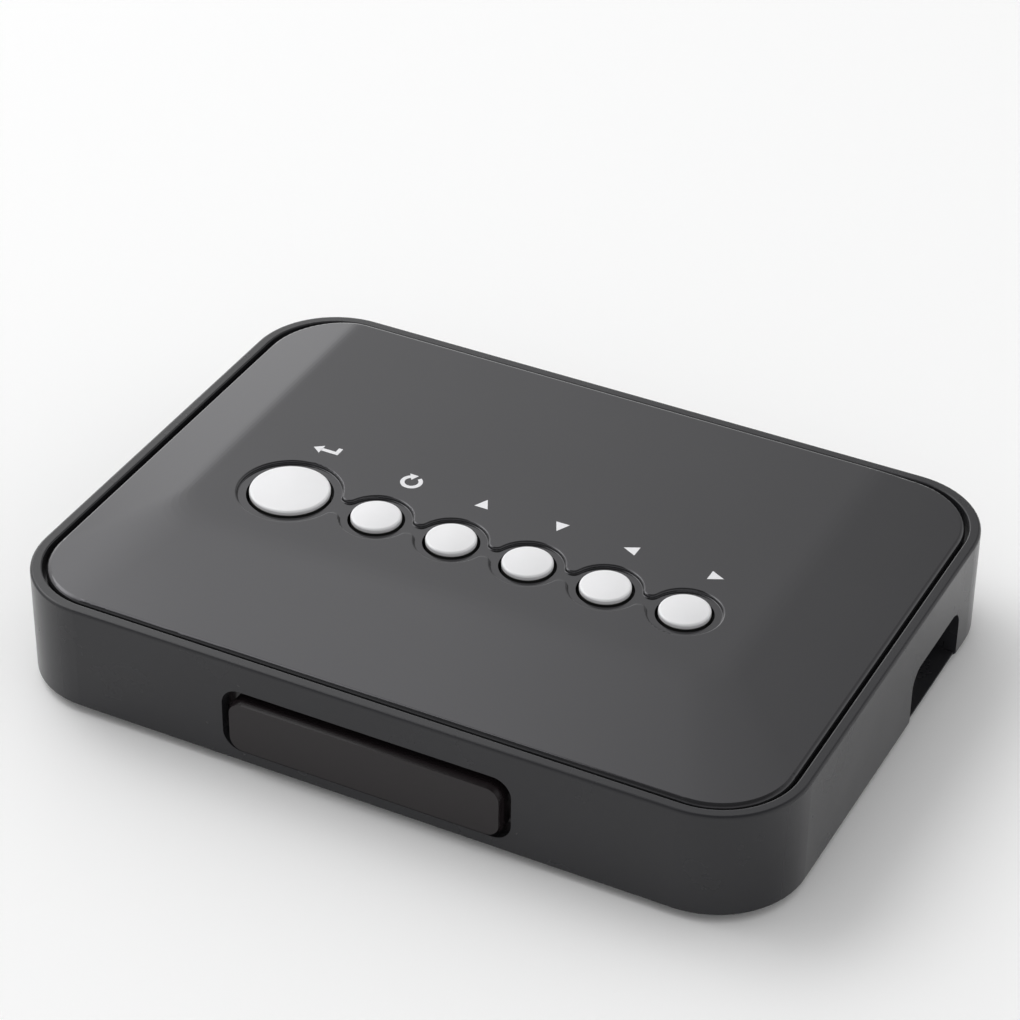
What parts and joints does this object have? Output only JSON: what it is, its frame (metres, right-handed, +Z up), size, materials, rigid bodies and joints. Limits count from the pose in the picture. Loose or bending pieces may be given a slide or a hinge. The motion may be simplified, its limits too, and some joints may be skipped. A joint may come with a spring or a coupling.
{
  "type": "media player",
  "caption": "Flat dark grey media player: crowned top panel in a narrow rim, a row of sprung silver push buttons, smoked infrared window, side and rear sockets, boards inside a screwed case.",
  "frame": {"origin": "on the surface it stands on, under the middle of its bounding box", "axes": "+X to the right along the long side, -Y out of the front wall with the infrared window, +Z up out of the button panel"},
  "size_m": [0.1248, 0.0926, 0.0203],
  "materials": {
    "housing_plastic": "semi-matte dark grey ABS with a very fine moulded grain",
    "panel_plastic": "satin dark grey ABS, smoother than the housing",
    "smoked_window": "smoked infrared-pass plastic, glossy, faintly red-brown",
    "silver_caps": "silver paint, satin, almost white",
    "foot_rubber": "matte black rubber",
    "screw_steel": "black-zinc plated steel",
    "board_green": "green solder resist over glass fibre",
    "black_resin": "matte black moulding resin",
    "pad_rubber": "soft grey-blue heat pad",
    "sink_aluminium": "extruded aluminium, clear anodised",
    "ferrite": "dark pressed ferrite",
    "can_aluminium": "drawn aluminium can",
    "chip_ceramic": "tan ceramic chips",
    "plated_steel": "nickel plated sheet steel",
    "plated_brass": "nickel plated turned brass",
    "white_insulator": "white glass-filled nylon",
    "receiver_resin": "dark infrared-pass epoxy",
    "light_resin": "red diffused epoxy",
    "ribbon_film": "white laminated ribbon cable"
  },
  "bodies": {
    "case": {"av_jack_body": "black_resin", "av_jack_bush": "plated_brass", "board_screws": "screw_steel", "bottom_cover": "housing_plastic", "capacitors": "can_aluminium", "case_screws": "screw_steel", "crystal": "plated_steel", "display_shell": "plated_steel", "display_tongue": "black_resin", "flash_chip": "black_resin", "heat_sink": "sink_aluminium", "inductors": "ferrite", "ir_receiver": "receiver_resin", "ir_window": "smoked_window", "key_board": "board_green", "key_board_screws": "screw_steel", "main_board": "board_green", "memory_chips": "black_resin", "power_jack_body": "black_resin", "power_jack_pin": "plated_brass", "processor": "black_resin", "regulators": "black_resin", "ribbon_cable": "ribbon_film", "ribbon_sockets": "white_insulator", "rubber_feet": "foot_rubber", "small_chips": "chip_ceramic", "status_lights": "light_resin", "switch_bases": "black_resin", "switch_covers": "plated_steel", "switch_domes": "plated_steel", "thermal_pad": "pad_rubber", "top_panel": "panel_plastic", "upper_housing": "housing_plastic", "usb_contacts": "plated_brass", "usb_shell": "plated_steel", "usb_tongue": "white_insulator"},
    "return_key": {"return_button": "silver_caps", "return_plunger": "black_resin"},
    "cycle_key": {"cycle_button": "silver_caps", "cycle_plunger": "black_resin"},
    "up_key": {"up_button": "silver_caps", "up_plunger": "black_resin"},
    "down_key": {"down_button": "silver_caps", "down_plunger": "black_resin"},
    "left_key": {"left_button": "silver_caps", "left_plunger": "black_resin"},
    "right_key": {"right_button": "silver_caps", "right_plunger": "black_resin"}
  },
  "joints": [
    {"name": "return_press", "type": "slide", "parent": "case", "child": "return_key", "axis": [0, 0, -1], "range_m": [0, 0.0004], "stiffness_N_per_m": 1500, "springref_m": -0.0002},
    {"name": "cycle_press", "type": "slide", "parent": "case", "child": "cycle_key", "axis": [0, 0, -1], "range_m": [0, 0.0004], "stiffness_N_per_m": 1500, "springref_m": -0.0002},
    {"name": "up_press", "type": "slide", "parent": "case", "child": "up_key", "axis": [0, 0, -1], "range_m": [0, 0.0004], "stiffness_N_per_m": 1500, "springref_m": -0.0002},
    {"name": "down_press", "type": "slide", "parent": "case", "child": "down_key", "axis": [0, 0, -1], "range_m": [0, 0.0004], "stiffness_N_per_m": 1500, "springref_m": -0.0002},
    {"name": "left_press", "type": "slide", "parent": "case", "child": "left_key", "axis": [0, 0, -1], "range_m": [0, 0.0004], "stiffness_N_per_m": 1500, "springref_m": -0.0002},
    {"name": "right_press", "type": "slide", "parent": "case", "child": "right_key", "axis": [0, 0, -1], "range_m": [0, 0.0004], "stiffness_N_per_m": 1500, "springref_m": -0.0002}
  ]
}
